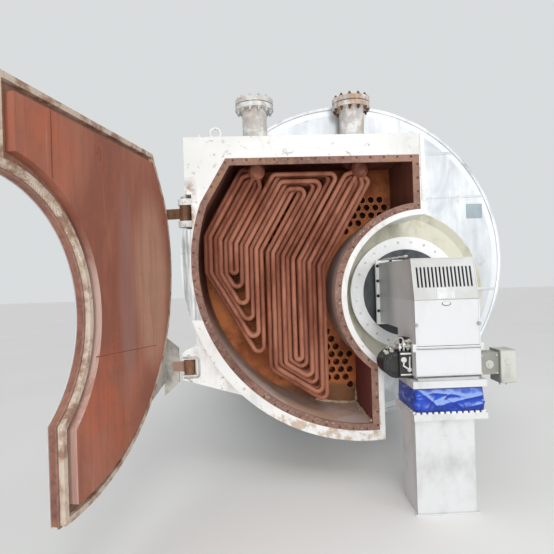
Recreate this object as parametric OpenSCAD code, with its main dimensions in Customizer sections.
// Three-pass shell boiler with an open smoke box, a superheater coil and a forced-draught burner.
// The front faces -Y, +Z is up, and the origin is on the floor under the middle of the front saddle.
// Depths in the smoke box and the burner are counted from the sealing face of the smoke box.

/* [Shell] */
// Outside radius of the insulated jacket
jacket_radius = 1460; // [1459:1:1500]
// Thickness of the insulated jacket
jacket_wall = 80; // [60:5:95]
// Length of the insulated jacket
jacket_length = 5200; // [4200:50:6500]
// Height of the shell axis above the floor
axis_height = 1800; // [1750:10:2200]
// Distance from the sealing face back to the middle of the front saddle
front_overhang = 2790; // [2500:10:3200]
// Thickness of the rear cover
rear_cover_thickness = 60; // [50:5:100]
// Width of a jacket joint band
band_width = 40; // [30:5:60]
// Height of a jacket joint band above the jacket
band_height = 4; // [2:1:6]
// Distance from a saddle to the joint band beside it
band_offset = 60; // [40:5:120]

/* [Saddles] */
// Distance from the rear end of the jacket to the middle of the rear saddle
rear_setback = 700; // [600:20:900]
// Length of a saddle along the shell
saddle_length = 300; // [240:10:400]
// Half of the wrap angle of a saddle
saddle_wrap = 40; // [35:1:50]
// Thickness of the saddle plates
saddle_plate = 24; // [16:2:40]
// Thickness of the foot plate
foot_plate = 30; // [20:2:40]
// Distance between the cross ribs of a saddle
rib_spacing = 430; // [380:10:440]

/* [Smoke box] */
// Outside radius of the sealing flange
seal_radius = 1376; // [1370:1:1378]
// Radius of the arch round the furnace mouth
arch_radius = 689; // [680:1:695]
// Furnace axis to the right of the shell axis
furnace_x = 497; // [490:1:505]
// Furnace axis below the shell axis
furnace_drop = 304; // [298:1:310]
// Top edge of the sealing flange above the shell axis
seal_top = 824; // [815:1:835]
// Right edge of the sealing flange above the furnace
seal_right_upper = 470; // [462:1:480]
// Right edge of the sealing flange below the furnace
seal_right_lower = 84; // [76:1:92]
// Direction of the cut corner, from the +X axis
corner_angle = 149.3; // [148:0.1:151]
// Distance of the cut corner from the shell axis
corner_distance = 1353; // [1345:1:1360]
// Width of the sealing flange
seal_width = 55; // [48:1:60]
// Thickness of the sealing flange
seal_thickness = 20; // [15:1:25]
// Thickness of the smoke box wall
chamber_wall = 25; // [15:1:28]
// Outside of the smoke box roof above the shell axis
chamber_top = 905; // [895:1:915]
// Distance from the sealing face back to the front cover
casing_depth = 690; // [685:1:700]
// Distance from the sealing face back to the tube sheet
chamber_depth = 790; // [780:5:820]
// Outside radius of the smoke box casing
casing_radius = 1457; // [1450:1:1458]
// Top of the smoke box casing above the shell axis
casing_top = 997; // [985:1:1005]
// Left side of the square casing corner
casing_left = 1410; // [1405:1:1412]
// Width of the casing edge along the arch and the right side
casing_edge = 44; // [40:1:48]
// Lifting eye to the left of the shell axis
eye_x = 1165; // [1140:5:1190]
// Lifting eye behind the sealing face
eye_depth = 120; // [100:5:200]

/* [Tube sheet] */
// Thickness of the tube sheet with the tube ends behind it
tube_sheet_thickness = 200; // [170:10:260]
// Distance between neighbouring smoke tubes
tube_pitch = 85; // [82:1:95]
// Bore of a smoke tube
tube_bore = 64; // [56:1:66]
// Outside diameter of a smoke tube end
tube_outside = 76; // [70:1:78]
// Length by which a tube end stands out of the tube sheet
tube_end = 6; // [4:1:10]
// Depth to which the tube bores are open
tube_bore_depth = 160; // [100:10:165]
// Radius inside which smoke tubes are placed
tube_field_radius = 1180; // [1100:10:1200]
// Clear radius round the furnace without smoke tubes
tube_clear_radius = 754; // [753:1:800]
// Height of the tube field above the shell axis
tube_field_top = 600; // [560:10:680]
// Left limit of the tube field
tube_field_left = 760; // [700:10:800]

/* [Superheater] */
// Outside diameter of a coil tube
coil_tube = 38; // [34:1:39]
// Sideways distance between neighbouring coil tubes
coil_pitch = 42; // [41:0.5:42.5]
// Distance between coil layers
layer_spacing = 60; // [50:1:62]
// First coil layer behind the sealing face
first_layer = 250; // [245:1:260]
// Space between the outermost coil tube and the sealing flange radius
coil_clearance = 88; // [84:1:90]
// Gap in the middle between the rising and the falling tubes
middle_gap = 56; // [52:1:60]
// Height of the outermost upper bends above the shell axis
upper_bend = 740; // [720:1:750]
// Height of the outermost lower left bend below the shell axis
lower_bend_left = 880; // [860:1:890]
// Height of the outermost lower right bend below the shell axis
lower_bend_right = 1214; // [1200:1:1220]
// Bend radius of the coil tubes
bend_radius = 45; // [42:1:48]
// Outside diameter of a header
header_diameter = 140; // [133:1:150]
// Left header to the left of the shell axis
header_left_x = 840; // [835:1:845]
// Right header to the right of the shell axis
header_right_x = 36; // [30:1:42]
// Height of the headers above the shell axis
header_height = 765; // [758:1:772]
// Front end of the headers behind the sealing face
header_front = 205; // [190:5:215]

/* [Nozzles] */
// Pipe diameter of the superheater nozzles
nozzle_pipe = 219; // [200:1:225]
// Wall thickness of the nozzle pipe
nozzle_wall = 8; // [6:1:14]
// Flange diameter of the superheater nozzles
nozzle_flange = 340; // [335:1:345]
// Thickness of one flange
flange_thickness = 40; // [30:2:44]
// Gap between the two flanges of a joint
flange_split = 8; // [4:1:10]
// Bolt circle of the flanges
bolt_circle = 295; // [285:1:298]
// Diameter of the bolt holes
bolt_hole = 22; // [18:1:24]
// Number of bolt holes
bolt_count = 12; // [8:4:12]
// Top of the superheater nozzles above the shell axis
nozzle_top = 1454; // [1440:1:1480]
// Superheater nozzles behind the sealing face
nozzle_depth = 512; // [505:1:515]

/* [Door] */
// Opening of the door as it stands
door_open = 103; // [95:1:110]
// Hinge axis to the left of the shell axis
hinge_x = 1425; // [1420:1:1430]
// Hinge axis behind the sealing face
hinge_depth = 100; // [95:1:105]
// Gap between the sealing face and the door flange when shut
door_gap = 36; // [30:1:42]
// Gap that stays between the rope and the sealing face
rope_gap = 6; // [4:1:8]
// Width of the sealing rope
rope_width = 32; // [26:1:36]
// Thickness of the door flange
door_flange_thickness = 10; // [8:1:14]
// Thickness of the door body
door_body_thickness = 38; // [32:1:45]
// Thickness of the door skin
door_skin_thickness = 6; // [4:1:8]
// Distance of the door body from the edge of the skin
door_body_inset = 6; // [4:1:10]
// Depth to which the plug reaches into the smoke box
plug_depth = 18; // [12:1:24]
// Distance of the plug from the inner edge of the sealing flange
plug_clearance = 35; // [33:1:45]
// Hinge barrel diameter
barrel_diameter = 90; // [80:1:95]
// Hinge barrel length
barrel_length = 115; // [100:1:118]
// Hinge pin diameter
pin_diameter = 50; // [40:1:54]
// Upper hinge above the shell axis
upper_hinge = 408; // [400:1:415]
// Lower hinge below the shell axis
lower_hinge = 827; // [820:1:835]
// Thickness of the door arms
arm_thickness = 30; // [24:1:34]
// Height of the door arms
arm_height = 80; // [60:1:90]
// Length of the upper door arm
upper_arm_length = 420; // [350:10:500]
// Length of the lower door arm
lower_arm_length = 620; // [500:10:700]

/* [Furnace mouth] */
// Outside radius of the recess round the furnace mouth
mouth_radius = 773; // [768:1:778]
// Radius of the furnace face at the bottom of the recess
face_radius = 705; // [695:1:712]
// Furnace face behind the sealing face
face_depth = 734; // [725:1:745]
// Outside radius of the burner ring
ring_radius = 510; // [500:1:520]
// Opening radius of the burner ring
ring_opening = 395; // [385:1:400]
// Outside radius of the neck behind the burner ring
neck_radius = 430; // [425:1:445]
// Thickness of the burner ring
ring_thickness = 36; // [30:1:40]
// Burner ring behind the sealing face
ring_depth = 540; // [530:5:555]
// Thickness of the burner plate
plate_thickness = 30; // [20:1:36]

/* [Burner] */
// Width of the burner housing
burner_width = 456; // [440:1:470]
// Middle of the burner housing to the right of the shell axis
burner_x = 444; // [438:1:450]
// Front of the burner housing ahead of the sealing face
burner_front = 545; // [520:5:560]
// Rear of the burner trunk ahead of the sealing face
trunk_rear = 130; // [100:5:160]
// Back of the burner neck behind the sealing face
burner_back = 440; // [420:5:460]
// Top of the burner housing below the shell axis
burner_top = 32; // [25:1:40]
// Foot of the sloped hood below the shell axis
hood_foot = 318; // [300:1:330]
// Distance by which the hood leans back
hood_lean = 64; // [50:1:80]
// Underside of the burner neck below the shell axis
neck_bottom = 548; // [530:1:565]
// Underside of the burner trunk below the shell axis
trunk_bottom = 878; // [870:1:890]
// Number of grille slots
slot_count = 15; // [9:1:17]
// Distance between neighbouring grille slots
slot_pitch = 27; // [25:0.5:27]
// Width of a grille slot
slot_width = 10; // [8:0.5:13]
// Length of a grille slot
slot_length = 140; // [120:5:150]
// Depth of a grille slot
slot_depth = 45; // [30:5:60]
// Width of the frame round the back of the burner neck
frame_width = 24; // [18:1:30]
// Depth of the frame round the back of the burner neck
frame_depth = 36; // [30:1:40]

/* [Air duct] */
// Width of the flanges at the air joint
duct_flange_width = 516; // [500:2:530]
// Depth of the flanges at the air joint
duct_flange_depth = 440; // [430:2:445]
// Thickness of the upper flange with its lip
upper_flange = 48; // [40:1:55]
// Thickness of the lower flange
lower_flange = 44; // [36:1:50]
// Height of the fabric air joint
fabric_height = 178; // [160:2:200]
// Width of the air duct
duct_width = 410; // [390:5:430]
// Depth of the air duct
duct_depth = 300; // [280:5:330]

/* [Rear] */
// Width of the rear flue box
flue_box_width = 1900; // [1600:20:2000]
// Height of the rear flue box
flue_box_height = 1150; // [1000:10:1200]
// Depth of the rear flue box
flue_box_depth = 860; // [820:10:1000]
// Underside of the rear flue box above the shell axis
flue_box_base = 60; // [40:5:90]
// Inside diameter of the flue outlet
flue_diameter = 630; // [500:10:640]
// Diameter of the rear access door
access_diameter = 700; // [600:10:740]
// Rear access door below the shell axis
access_drop = 640; // [600:10:680]

/* [Hidden] */
$fn = 192;

far = 4000;
seat = 0.3;
front_y = -front_overhang;
jacket_front = front_y + casing_depth;
jacket_rear = jacket_front + jacket_length;
rear_saddle_y = jacket_rear - rear_setback;
inner_radius = jacket_radius - jacket_wall - seat;
furnace_z = -furnace_drop;
door_back = -door_gap;
door_front = door_back - door_flange_thickness - door_body_thickness - door_skin_thickness;

// Placement

module at_seal() {
    translate([0, front_y, axis_height]) children();
}

module slab(y0, thickness) {
    translate([0, y0 + thickness, 0]) rotate([90, 0, 0]) linear_extrude(thickness) children();
}

module disc(y0, thickness, radius) {
    translate([0, y0, 0]) rotate([-90, 0, 0]) cylinder(h = thickness, r = radius);
}

module at_furnace(y0) {
    translate([furnace_x, y0, furnace_z]) rotate([-90, 0, 0]) children();
}

module door_swing() {
    translate([-hinge_x, hinge_depth, 0]) rotate([0, 0, -door_open]) translate([hinge_x, -hinge_depth, 0])
        children();
}

// Outlines of the smoke box in the plane of its sealing face

module right_limit(top, upper, lower) {
    polygon([[-far, top], [upper, top], [upper, furnace_z], [lower, furnace_z], [lower, -far], [-far, -far]]);
}

module gas_outline(inset, top = seal_top) {
    difference() {
        intersection() {
            circle(r = seal_radius - inset);
            right_limit(top - inset, seal_right_upper - inset, seal_right_lower - inset);
            rotate([0, 0, corner_angle]) translate([-far, -far]) square([far + corner_distance - inset, 2 * far]);
        }
        translate([furnace_x, furnace_z]) circle(r = arch_radius + inset);
    }
}

module chamber_outline(inset) {
    gas_outline(inset, chamber_top);
}

module casing_outline() {
    difference() {
        intersection() {
            union() {
                circle(r = casing_radius);
                translate([-casing_left, 0]) square([casing_left, casing_top + 1]);
            }
            right_limit(casing_top, seal_right_upper + casing_edge, seal_right_lower + casing_edge);
        }
        translate([furnace_x, furnace_z]) circle(r = arch_radius - casing_edge);
    }
}

// Shell. One joint band is at each end, one beside each saddle and one in the middle.

band_places = [jacket_front + band_width / 2, -saddle_length / 2 - band_offset, rear_saddle_y / 2,
    rear_saddle_y + saddle_length / 2 + band_offset, jacket_rear - band_width / 2];

module shell_jacket() color("silver") {
    translate([0, jacket_front, axis_height]) difference() {
        union() {
            disc(0, jacket_length, jacket_radius);
            for (y = band_places) disc(y - jacket_front - band_width / 2, band_width, jacket_radius + band_height);
        }
        disc(-1, jacket_length + 2, jacket_radius - jacket_wall);
    }
}

module front_cover() color("gainsboro") {
    at_seal() slab(casing_depth, chamber_depth - casing_depth) difference() {
        circle(r = inner_radius);
        chamber_outline(-seat);
        translate([furnace_x, furnace_z]) circle(r = mouth_radius + seat);
    }
}

// The wall of the recess tapers from the front cover to the furnace face.
mouth_lip = 8;

module furnace_collar() color("whitesmoke") {
    at_seal() difference() {
        at_furnace(casing_depth) difference() {
            cylinder(h = chamber_depth - casing_depth, r = mouth_radius);
            translate([0, 0, -0.01]) cylinder(h = face_depth - casing_depth + 0.02,
                r1 = mouth_radius - mouth_lip, r2 = face_radius);
            cylinder(h = far, r = face_radius);
        }
        slab(0, far) chamber_outline(-seat);
    }
}

module furnace_face() color("cornsilk") {
    at_seal() difference() {
        at_furnace(face_depth) difference() {
            cylinder(h = chamber_depth - face_depth, r = face_radius - seat);
            translate([0, 0, -1]) cylinder(h = far, r = neck_radius);
        }
        slab(0, far) chamber_outline(-seat);
    }
}

module burner_ring() color("whitesmoke") {
    at_seal() at_furnace(ring_depth) difference() {
        union() {
            cylinder(h = ring_thickness, r = ring_radius);
            cylinder(h = chamber_depth - ring_depth - seat, r = neck_radius - seat);
        }
        translate([0, 0, -1]) cylinder(h = far, r = ring_opening);
    }
}

row_height = tube_pitch * sin(60);
rows = ceil(tube_field_radius / row_height);
edge_space = 60;

function in_field(p) = norm(p) < tube_field_radius
    && norm(p - [furnace_x, furnace_z]) > tube_clear_radius
    && p[0] < seal_right_upper - edge_space && p[0] > -tube_field_left && p[1] < tube_field_top
    && (p[1] > furnace_z || p[0] < seal_right_lower - edge_space);
function tube_places() = [for (row = [-rows : rows]) for (col = [-rows : rows])
    let (p = [(col + (row % 2 == 0 ? 0 : 0.5)) * tube_pitch, row * row_height]) if (in_field(p)) p];

module tube_sheet() color("sienna") {
    at_seal() difference() {
        union() {
            disc(chamber_depth, tube_sheet_thickness, inner_radius);
            for (p = tube_places()) translate([p[0], chamber_depth - tube_end, p[1]]) rotate([-90, 0, 0])
                cylinder(h = tube_end + 1, d = tube_outside, $fn = 24);
        }
        for (p = tube_places()) translate([p[0], chamber_depth - tube_end - 1, p[1]]) rotate([-90, 0, 0])
            cylinder(h = tube_end + 1 + tube_bore_depth, d = tube_bore, $fn = 24);
    }
}

// Rear

module rear_cover() color("silver") {
    translate([0, jacket_rear, axis_height]) disc(0, rear_cover_thickness, jacket_radius);
}

rim_width = 50;
rim_thickness = 12;
cover_width = 720;
cover_margin = 140;
cover_thickness = 30;
rear_face = jacket_rear + rear_cover_thickness;

module rear_flue_box() color("silver") {
    translate([0, rear_face, axis_height + flue_box_base]) {
        translate([-flue_box_width / 2, 0, 0]) cube([flue_box_width, flue_box_depth, flue_box_height]);
        translate([-flue_box_width / 2 - rim_width, 0, -rim_width])
            cube([flue_box_width + 2 * rim_width, rim_thickness, flue_box_height + 2 * rim_width]);
        for (x = [-1, 1]) translate([x * flue_box_width / 4 - cover_width / 2, flue_box_depth, cover_margin])
            cube([cover_width, cover_thickness, flue_box_height - 2 * cover_margin]);
    }
}

outlet_wall = 6;
outlet_height = 180;
outlet_flange = 55;
outlet_floor = 20;

module flue_outlet() color("gray") {
    translate([0, rear_face + flue_box_depth / 2, axis_height + flue_box_base + flue_box_height]) difference() {
        union() {
            cylinder(h = outlet_height, d = flue_diameter + 2 * outlet_wall);
            translate([0, 0, outlet_height - rim_thickness])
                cylinder(h = rim_thickness, d = flue_diameter + 2 * outlet_flange);
        }
        translate([0, 0, outlet_floor]) cylinder(h = outlet_height, d = flue_diameter);
    }
}

access_neck = 60;
access_lid = 24;

module rear_access_door() color("gray") {
    translate([0, rear_face, axis_height - access_drop]) {
        disc(0, access_neck, access_diameter / 2);
        disc(access_neck, access_lid, access_diameter / 2 + rim_width);
    }
}

// Saddles

cradle_thickness = 16;
cradle_radius = jacket_radius + seat;
foot_half = jacket_radius * sin(saddle_wrap);

saddle_top = axis_height - jacket_radius * cos(saddle_wrap);

module saddle() {
    translate([-foot_half, -saddle_length / 2, 0]) cube([2 * foot_half, saddle_length, foot_plate]);
    difference() {
        union() {
            for (y = [-saddle_length / 2 + saddle_plate, saddle_length / 2 - 2 * saddle_plate])
                translate([-foot_half + saddle_plate, y, foot_plate - 1])
                    cube([2 * (foot_half - saddle_plate), saddle_plate, saddle_top - foot_plate]);
            for (x = [-2 : 2]) translate([x * rib_spacing - saddle_plate / 2,
                -saddle_length / 2 + 1.5 * saddle_plate, foot_plate - 1])
                cube([saddle_plate, saddle_length - 3 * saddle_plate, saddle_top - foot_plate]);
        }
        translate([0, 0, axis_height]) disc(-saddle_length, 2 * saddle_length, cradle_radius + cradle_thickness / 2);
    }
    translate([0, saddle_length / 2, axis_height]) rotate([90, 0, 0]) rotate([0, 0, -90 - saddle_wrap])
        rotate_extrude(angle = 2 * saddle_wrap) translate([cradle_radius, 0]) square([cradle_thickness, saddle_length]);
}

module front_saddle() color("dimgray") saddle();

module rear_saddle() color("dimgray") translate([0, rear_saddle_y, 0]) saddle();

// Smoke box

module smoke_box_flange() color("sienna") {
    at_seal() slab(0, seal_thickness) difference() {
        gas_outline(0);
        gas_outline(seal_width);
    }
}

module nozzle_holes() {
    for (x = [-header_left_x, header_right_x]) translate([x, nozzle_depth, header_height])
        cylinder(h = far, d = nozzle_pipe + 2 * seat);
}

module smoke_box_wall() color("saddlebrown") {
    at_seal() difference() {
        slab(seal_thickness + seat, chamber_depth - seal_thickness - 2 * seat) difference() {
            chamber_outline(0);
            chamber_outline(chamber_wall);
        }
        nozzle_holes();
    }
}

// A notch in the left edge of the casing takes the upper hinge.
pin_ends = 60;
notch_x = casing_left - 50;
notch_space = 20;
notch_depth = hinge_depth + barrel_diameter;
notch_half = barrel_length / 2 + pin_ends + notch_space;

module smoke_box_casing() color("whitesmoke") {
    at_seal() difference() {
        union() {
            slab(0, seal_thickness) difference() {
                casing_outline();
                gas_outline(-seat);
            }
            slab(seal_thickness, casing_depth - seal_thickness - seat) difference() {
                casing_outline();
                chamber_outline(-seat);
            }
        }
        translate([-casing_radius - 1, -1, upper_hinge - notch_half])
            cube([casing_radius + 1 - notch_x, notch_depth + 1, 2 * notch_half]);
        nozzle_holes();
    }
}

eye_radius = 43;
eye_bar = 22;
eye_pad = 64;
eye_pad_height = 16;
eye_neck = 34;
eye_neck_height = 24;

module lifting_eye() color("whitesmoke") {
    at_seal() translate([-eye_x, eye_depth, casing_top]) {
        cylinder(h = eye_pad_height, d = eye_pad);
        cylinder(h = eye_neck_height, d = eye_neck);
        translate([0, 0, eye_pad_height + eye_radius]) rotate([90, 0, 0]) rotate_extrude($fn = 64)
            translate([eye_radius, 0]) circle(d = eye_bar, $fn = 24);
    }
}

// Superheater. Each header ends in front in a tapered cap. Its nozzle rises from a reducer and carries
// a pair of pipe flanges.

header_cap = 20;
header_end_space = 20;
branch_pipe = header_diameter - 30;
reducer_sink = 10;
reducer_base = header_height + header_diameter / 2 - reducer_sink;
reducer_length = 50;
bore_base = chamber_top + 10;
flange_pair = 2 * flange_thickness + flange_split;

module header(x) {
    at_seal() difference() {
        union() {
            translate([x, header_front, header_height]) rotate([-90, 0, 0]) {
                cylinder(h = header_cap, d1 = header_diameter - 2 * header_cap, d2 = header_diameter);
                translate([0, 0, header_cap])
                    cylinder(h = chamber_depth - header_front - header_cap - header_end_space, d = header_diameter);
            }
            translate([x, nozzle_depth, header_height]) cylinder(h = header_diameter / 2 - reducer_sink + 1, d = branch_pipe);
            translate([x, nozzle_depth, reducer_base]) cylinder(h = reducer_length, d1 = branch_pipe, d2 = nozzle_pipe);
            translate([x, nozzle_depth, reducer_base + reducer_length])
                cylinder(h = nozzle_top - reducer_base - reducer_length, d = nozzle_pipe);
            for (low = [flange_thickness, flange_pair])
                translate([x, nozzle_depth, nozzle_top - low]) cylinder(h = flange_thickness, d = nozzle_flange);
        }
        translate([x, nozzle_depth, bore_base]) cylinder(h = far, d = nozzle_pipe - 2 * nozzle_wall);
        for (i = [0.5 : 1 : bolt_count - 0.5]) translate([x, nozzle_depth, nozzle_top - flange_pair - 1])
            rotate([0, 0, i * 360 / bolt_count]) translate([bolt_circle / 2, 0, 0])
                cylinder(h = flange_pair + 2, d = bolt_hole);
    }
}

module header_left() color("peru") header(-header_left_x);

module header_right() color("peru") header(header_right_x);

// Centre lines of the coil tubes, as [x, z] in the plane of a layer.
// Tube 0 lies outside in the lower bends, tube 5 outside in the upper bends.

tube_count = 6;
leg_1 = -seal_radius + coil_clearance;
leg_2 = -820;
leg_3 = leg_2 + middle_gap;
leg_4 = -290;
knee_left = 242;
knee_fall = 0.296;
slant = 30;
shallow = 33;
upper_bend_step = 62;
lower_left_step = 140;
lower_right_step = 70;
inner_left = 122;
inner_right = 60;
tight_bend = 24;
collect_radius = 130;
collect_bend = 35;
straight_limit = 12;
bend_swell = 0.6;
rod_inside = 1;

function knee_z(x) = knee_left - knee_fall * (x - leg_1);
function knee(x) = [x, knee_z(x)];
function on_slant(x, z) = [x + (z - knee_z(x)) * tan(slant), z];
function upper_z(i) = upper_bend - upper_bend_step * floor((tube_count - 1 - i) / 2);
function header_end(leg, centre) = let (u = [sin(slant), cos(slant)], from = knee(leg),
    near = (centre - from) * u, off = cross(u, centre - from), foot = from + u * near)
    abs(off) < straight_limit ? [[foot[0], foot[1], 0]]
        : let (corner = foot - u * sqrt(pow(collect_radius, 2) - pow(off, 2)))
            [[corner[0], corner[1], collect_bend], [centre[0], centre[1], 0]];
function reversed(list) = [for (i = [len(list) - 1 : -1 : 0]) list[i]];
function ubend(a, b, z) = [[(a + b) / 2, z, -(b - a) / 2]];
function left_bend(i, a, b) = let (z = -lower_bend_left + lower_left_step * i)
    i == tube_count - 1 ? ubend(a, b, z + inner_left)
        : [[a, z + (b - a) / tan(slant), bend_radius], [b, z, bend_radius]];
function right_bend(i, a, b) = let (z = -lower_bend_right + lower_right_step * i)
    i == tube_count - 1 ? ubend(a, b, z + inner_right)
        : [[a, z + (b - a) * tan(shallow), bend_radius], [b, z, bend_radius]];
function with_bend(p) = [p[0], p[1], bend_radius];
function top_radius(i) = i == 0 ? tight_bend : bend_radius;
function tube_path(i) = let (
    a = leg_1 + coil_pitch * i, b = leg_2 - coil_pitch * i,
    c = leg_3 + coil_pitch * i, d = leg_4 - coil_pitch * i,
    left = [-header_left_x, header_height], right = [header_right_x, header_height],
    p = on_slant(b, upper_z(i)), q = on_slant(c, upper_z(i)))
    concat(reversed(header_end(a, left)), [with_bend(knee(a))],
        left_bend(i, a, b), [with_bend(knee(b)), [p[0], p[1], top_radius(i)], [q[0], q[1], top_radius(i)],
        with_bend(knee(c))], right_bend(i, c, d),
        [with_bend(knee(d))], header_end(d, right));

// A path point is [x, z, bend radius]. A negative radius stands for a half circle round the point,
// opening upwards.

function xy(p) = [p[0], p[1]];
function unit(v) = v / norm(v);
function is_half(p) = p[2] < 0;
function half_in(p, i) = [p[i][0] + p[i][2], p[i][1]];
function half_out(p, i) = [p[i][0] - p[i][2], p[i][1]];
function point_before(p, i) = is_half(p[i - 1]) ? half_out(p, i - 1) : xy(p[i - 1]);
function point_after(p, i) = is_half(p[i + 1]) ? half_in(p, i + 1) : xy(p[i + 1]);
function half_angle(p, i) = acos(unit(point_before(p, i) - xy(p[i])) * unit(point_after(p, i) - xy(p[i]))) / 2;
function tangent_length(p, i) = i == 0 || i == len(p) - 1 ? 0 : p[i][2] / tan(half_angle(p, i));
function leave(p, i) = is_half(p[i]) ? half_out(p, i)
    : xy(p[i]) + unit(point_after(p, i) - xy(p[i])) * tangent_length(p, i);
function arrive(p, i) = is_half(p[i]) ? half_in(p, i)
    : xy(p[i]) + unit(point_before(p, i) - xy(p[i])) * tangent_length(p, i);

module planar_rod(a, b, d, inside_a, inside_b) {
    translate([a[0], a[1], 0]) rotate([0, 0, atan2(b[1] - a[1], b[0] - a[0])]) rotate([0, 90, 0])
        translate([0, 0, -inside_a]) cylinder(h = norm(b - a) + inside_a + inside_b, d = d, $fn = 24);
}

module planar_arc(centre, radius, start, turn, d) {
    translate([centre[0], centre[1], 0]) rotate([0, 0, start]) rotate_extrude(angle = turn, $fn = 72)
        translate([radius, 0]) circle(d = d, $fn = 24);
}

module planar_elbow(p, i, d) {
    if (is_half(p[i])) {
        planar_arc(xy(p[i]), -p[i][2], 180, 180, d);
    } else {
        a = unit(point_before(p, i) - xy(p[i]));
        b = unit(point_after(p, i) - xy(p[i]));
        half = half_angle(p, i);
        centre = xy(p[i]) + unit(a + b) * p[i][2] / sin(half);
        from = arrive(p, i) - centre;
        to = leave(p, i) - centre;
        start = cross(from, to) > 0 ? from : to;
        planar_arc(centre, p[i][2], atan2(start[1], start[0]), 180 - 2 * half, d);
    }
}

module bent_tube(p, d) {
    for (i = [0 : len(p) - 2]) planar_rod(leave(p, i), arrive(p, i + 1), d,
        i == 0 ? 0 : rod_inside, i == len(p) - 2 ? 0 : rod_inside);
    for (i = [1 : len(p) - 2]) planar_elbow(p, i, d + bend_swell);
}

module coil_layer(number) {
    at_seal() difference() {
        translate([0, first_layer + layer_spacing * (number - 1), 0]) rotate([90, 0, 0])
            for (i = [0 : 2]) bent_tube(tube_path(2 * i + (number % 2)), coil_tube);
        for (x = [-header_left_x, header_right_x]) translate([x, 0, header_height]) rotate([-90, 0, 0])
            cylinder(h = chamber_depth, d = header_diameter + 2 * seat);
    }
}

module coil_layer_1() color("sienna") coil_layer(1);

module coil_layer_2() color("sienna") coil_layer(2);

module coil_layer_3() color("sienna") coil_layer(3);

module coil_layer_4() color("sienna") coil_layer(4);

module coil_layer_5() color("sienna") coil_layer(5);

module coil_layer_6() color("sienna") coil_layer(6);

// Hinges. The lugs are on the smoke box, and the barrels are on the door.

lug_diameter = 110;
lug_gap = 6;
upper_lug = 50;
lower_lug = 34;
lower_reach = 336;
bracket_out = 50;
bracket_in = 66;
bracket_rise = 112;
bracket_shoulder_in = 20;
bracket_shoulder = 140;
bracket_step_in = 46;
bracket_step = 165;
bracket_peak = 400;
bracket_tail_x = 525;
bracket_tail_drop = 270;
pin_head = 14;
bracket_plate = 16;
window_reach = 64;

module hinge_lug(z, height, reach) {
    translate([-hinge_x, hinge_depth, z]) difference() {
        union() {
            cylinder(h = height, d = lug_diameter);
            translate([0, -lug_diameter / 2, 0]) cube([reach, lug_diameter, height]);
        }
        translate([0, 0, -1]) cylinder(h = height + 2, d = pin_diameter + 2 * seat);
    }
}

module hinge_pair(z, reach, thickness) {
    hinge_lug(z + barrel_length / 2 + lug_gap, thickness, reach);
    hinge_lug(z - barrel_length / 2 - lug_gap - thickness, thickness, reach);
}

module upper_hinge_lugs() color("whitesmoke") {
    at_seal() hinge_pair(upper_hinge, hinge_x - notch_x - seat, upper_lug);
}

module lower_hinge_bracket() color("whitesmoke") {
    at_seal() difference() {
        union() {
            hinge_pair(-lower_hinge, lower_reach, lower_lug);
            slab(hinge_depth - lug_diameter / 2, bracket_plate) polygon([
                [-hinge_x - bracket_out, -lower_hinge + bracket_rise],
                [-hinge_x - bracket_shoulder_in, -lower_hinge + bracket_shoulder],
                [-hinge_x + bracket_step_in, -lower_hinge + bracket_step],
                [-hinge_x + bracket_in, -lower_hinge + bracket_step + bracket_shoulder_in],
                [-hinge_x + bracket_in, -lower_hinge + bracket_peak],
                [-hinge_x + bracket_tail_x, -lower_hinge - bracket_tail_drop],
                [-hinge_x - bracket_out, -lower_hinge - barrel_length / 2 - lug_gap - lower_lug]]);
            translate([-hinge_x + window_reach, hinge_depth - lug_diameter / 2,
                -lower_hinge - barrel_length / 2 - lug_gap - lower_lug])
                cube([bracket_plate, 2 * lug_diameter, barrel_length + 2 * (lug_gap + lower_lug)]);
        }
        translate([-far, 0, -lower_hinge - barrel_length / 2 - lug_gap])
            cube([far - hinge_x + window_reach, far, barrel_length + 2 * lug_gap]);
        disc(-1, far, casing_radius + seat);
        translate([-hinge_x, hinge_depth, -far]) cylinder(h = far, d = pin_diameter + 2 * seat);
    }
}

module hinge_pin(z) {
    at_seal() translate([-hinge_x, hinge_depth, z - barrel_length / 2 - pin_ends]) {
        cylinder(h = barrel_length + 2 * pin_ends, d = pin_diameter);
        translate([0, 0, barrel_length + 2 * pin_ends]) cylinder(h = pin_head, d = pin_diameter + 20);
    }
}

module upper_hinge_pin() color("silver") hinge_pin(upper_hinge);

module lower_hinge_pin() color("silver") hinge_pin(-lower_hinge);

// Door, drawn shut and then swung open

module door_skin() color("silver") {
    at_seal() door_swing() slab(door_front, door_skin_thickness) gas_outline(0);
}

module door_body() color("saddlebrown") {
    at_seal() door_swing() slab(door_front + door_skin_thickness, door_body_thickness) gas_outline(door_body_inset);
}

module door_flange() color("sienna") {
    at_seal() door_swing() slab(door_back - door_flange_thickness, door_flange_thickness) gas_outline(0);
}

module door_gasket() color("wheat") {
    at_seal() door_swing() slab(door_back, door_gap - rope_gap) difference() {
        gas_outline((seal_width - rope_width) / 2);
        gas_outline((seal_width + rope_width) / 2);
    }
}

module door_plug() color("sienna") {
    at_seal() door_swing() slab(door_back, plug_depth + door_gap) gas_outline(seal_width + plug_clearance);
}

barrel_clearance = 1;
arm_bite = 10;

module door_barrel(z) {
    translate([-hinge_x, hinge_depth, z - barrel_length / 2]) difference() {
        cylinder(h = barrel_length, d = barrel_diameter);
        translate([0, 0, -1]) cylinder(h = barrel_length + 2, d = pin_diameter + 2 * barrel_clearance);
    }
}

module door_arm(z, reach) {
    arm_back = hinge_depth - barrel_diameter / 2 + arm_bite;
    door_barrel(z);
    translate([-hinge_x - arm_thickness / 2, door_front - arm_thickness, z - arm_height / 2]) {
        cube([arm_thickness, arm_back - door_front + arm_thickness, arm_height]);
        cube([reach, arm_thickness, arm_height]);
    }
}

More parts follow.
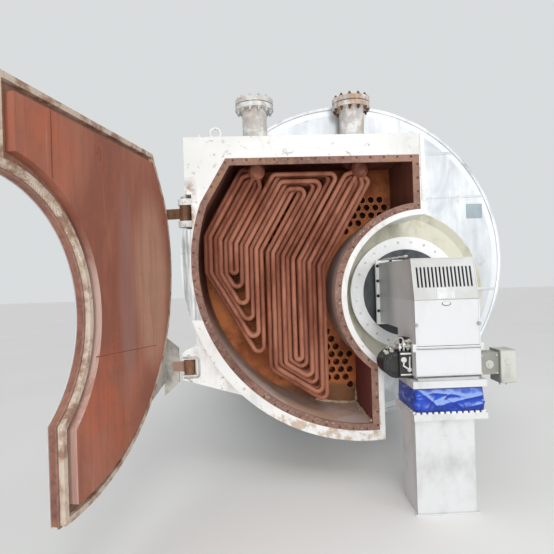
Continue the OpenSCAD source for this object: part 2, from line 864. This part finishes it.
module door_upper_arm() color("lightgray") {
    at_seal() door_swing() door_arm(upper_hinge, upper_arm_length);
}

// A triangular plate and an upright web stiffen the lower arm.
web_thickness = 12;
web_clear = 90;
web_top = 250;
web_shoulder = 150;
web_heel = 125;
web_foot = 240;
arm_plate = 10;
arm_plate_rise = 180;
arm_plate_peak = 380;
arm_plate_in = 60;
arm_plate_tail_x = 445;
arm_plate_tail_drop = 253;
arm_plate_foot = 95;

module door_lower_arm() color("lightgray") {
    at_seal() door_swing() {
        door_arm(-lower_hinge, lower_arm_length);
        translate([-hinge_x - web_thickness / 2, 0, -lower_hinge]) rotate([90, 0, 90])
            linear_extrude(web_thickness) polygon([
                [door_front - arm_thickness, web_top],
                [hinge_depth - web_clear, web_shoulder],
                [hinge_depth - web_clear, -web_heel],
                [door_front - arm_thickness, -web_foot]]);
        slab(door_front - arm_plate, arm_plate) polygon([
            [-hinge_x - arm_thickness / 2, -lower_hinge + arm_plate_rise],
            [-hinge_x + arm_plate_in, -lower_hinge + arm_plate_peak],
            [-hinge_x + arm_plate_tail_x, -lower_hinge - arm_plate_tail_drop],
            [-hinge_x - arm_thickness / 2, -lower_hinge - arm_plate_foot]]);
    }
}

// Burner

ring_recess = 10;
throat_inset = 30;
trunk_right = burner_x + burner_width / 2;
trunk_left = burner_x - burner_width / 2;
lean_angle = atan(hood_lean / (hood_foot - burner_top));
slot_rise = 14;
slot_height = (burner_top + hood_foot) / 2 - slot_rise;
seam_height = 652;
seam_depth = 5;

module burner_plate() color("dimgray") {
    at_seal() {
        at_furnace(ring_depth + ring_recess) cylinder(h = plate_thickness, r = ring_opening - seat);
        translate([trunk_left + throat_inset, burner_back, -neck_bottom])
            cube([burner_width - 2 * throat_inset, ring_depth + ring_recess - burner_back + 1,
                neck_bottom - burner_top - 2 * throat_inset]);
    }
}

module burner_side() {
    polygon([[-burner_front, -trunk_bottom + lip_height], [-burner_front, -hood_foot],
        [-burner_front + hood_lean, -burner_top], [burner_back, -burner_top], [burner_back, -neck_bottom],
        [-trunk_rear, -neck_bottom], [-trunk_rear, -trunk_bottom + lip_height]]);
}

module burner_housing() color("whitesmoke") {
    at_seal() difference() {
        union() {
            translate([trunk_left, 0, 0]) rotate([90, 0, 90]) linear_extrude(burner_width) burner_side();
            translate([trunk_left - frame_width, burner_back - frame_depth, -neck_bottom - frame_width])
                cube([burner_width + 2 * frame_width, frame_depth, neck_bottom - burner_top + 2 * frame_width]);
        }
        translate([burner_x, -burner_front + hood_lean / 2, -slot_height]) rotate([-lean_angle, 0, 0])
            for (i = [0 : slot_count - 1]) translate([(i - (slot_count - 1) / 2) * slot_pitch - slot_width / 2,
                -slot_depth, -slot_length / 2]) cube([slot_width, 2 * slot_depth, slot_length]);
        translate([trunk_left - 1, -burner_front - 1, -seam_height])
            cube([burner_width + 2, seam_depth + 1, seam_depth]);
    }
}

lip_height = 24;
lip_inset = 12;
flange_low = trunk_bottom + upper_flange;
fabric_low = flange_low + fabric_height;
flange_ahead = 15;
duct_shift = 38;
duct_flange_front = -burner_front - flange_ahead;
duct_x = burner_x - duct_shift;

module duct_flange(low, thickness) {
    translate([burner_x - duct_flange_width / 2, duct_flange_front, -low])
        cube([duct_flange_width, duct_flange_depth, thickness]);
}

module burner_base() color("whitesmoke") {
    at_seal() {
        duct_flange(flange_low, upper_flange);
        translate([trunk_left + lip_inset, -burner_front + lip_inset, -trunk_bottom - 1])
            cube([burner_width - 2 * lip_inset, burner_front - trunk_rear - 2 * lip_inset, lip_height + 1]);
    }
}

fabric_inset = 12;

module air_compensator() color("royalblue") {
    at_seal() translate([burner_x - duct_flange_width / 2 + fabric_inset, duct_flange_front + fabric_inset, -fabric_low])
        cube([duct_flange_width - 2 * fabric_inset, duct_flange_depth - 2 * fabric_inset, fabric_height]);
}

module air_duct() color("whitesmoke") {
    at_seal() {
        duct_flange(fabric_low + lower_flange, lower_flange);
        translate([duct_x - duct_width / 2, -burner_front + fabric_inset, -axis_height])
            cube([duct_width, duct_depth, axis_height - fabric_low - lower_flange + 1]);
    }
}

// Side fittings of the burner

drum_diameter = 190;
drum_front = 400;
drum_length = 200;
drum_drop = 785;
valve_front = 450;
valve_width = 86;
valve_depth = 120;
valve_height = 190;
valve_drop = 775;
stem_diameter = 46;
stem_length = 200;
fitting_drop = 620;
fitting_diameter = 60;

module gas_valve() color("dimgray") {
    at_seal() translate([trunk_left - seat, 0, 0]) {
        translate([-drum_diameter / 2, -drum_front, -drum_drop]) rotate([-90, 0, 0])
            cylinder(h = drum_length, d = drum_diameter);
        translate([-valve_width, -valve_front, -valve_drop - valve_height / 2])
            cube([valve_width, valve_depth, valve_height]);
        translate([-valve_width / 2, valve_depth / 2 - valve_front, -drum_drop])
            cylinder(h = stem_length, d = stem_diameter);
        translate([-valve_width / 2, valve_depth / 2 - valve_front, -fitting_drop]) rotate([0, 90, 0])
            cylinder(h = valve_width / 2, d = fitting_diameter);
    }
}

motor_bracket_width = 140;
motor_bracket_depth = 110;
motor_bracket_height = 153;
motor_bracket_drop = 855;
motor_width = 115;
motor_depth = 150;
motor_height = 230;
motor_drop = 916;
motor_front = 530;

module air_actuator() color("gainsboro") {
    at_seal() translate([trunk_right + seat, -motor_front, 0]) {
        translate([0, (motor_depth - motor_bracket_depth) / 2, -motor_bracket_drop])
            cube([motor_bracket_width, motor_bracket_depth, motor_bracket_height]);
        translate([motor_bracket_width - 1, 0, -motor_drop]) cube([motor_width, motor_depth, motor_height]);
    }
}

shell_jacket();
front_cover();
tube_sheet();
rear_cover();
rear_flue_box();
flue_outlet();
rear_access_door();
front_saddle();
rear_saddle();
smoke_box_flange();
smoke_box_wall();
smoke_box_casing();
furnace_collar();
furnace_face();
burner_ring();
header_left();
header_right();
coil_layer_1();
coil_layer_2();
coil_layer_3();
coil_layer_4();
coil_layer_5();
coil_layer_6();
lifting_eye();
upper_hinge_lugs();
lower_hinge_bracket();
upper_hinge_pin();
lower_hinge_pin();
burner_plate();
burner_housing();
burner_base();
air_compensator();
air_duct();
gas_valve();
air_actuator();
door_skin();
door_body();
door_flange();
door_gasket();
door_plug();
door_upper_arm();
door_lower_arm();
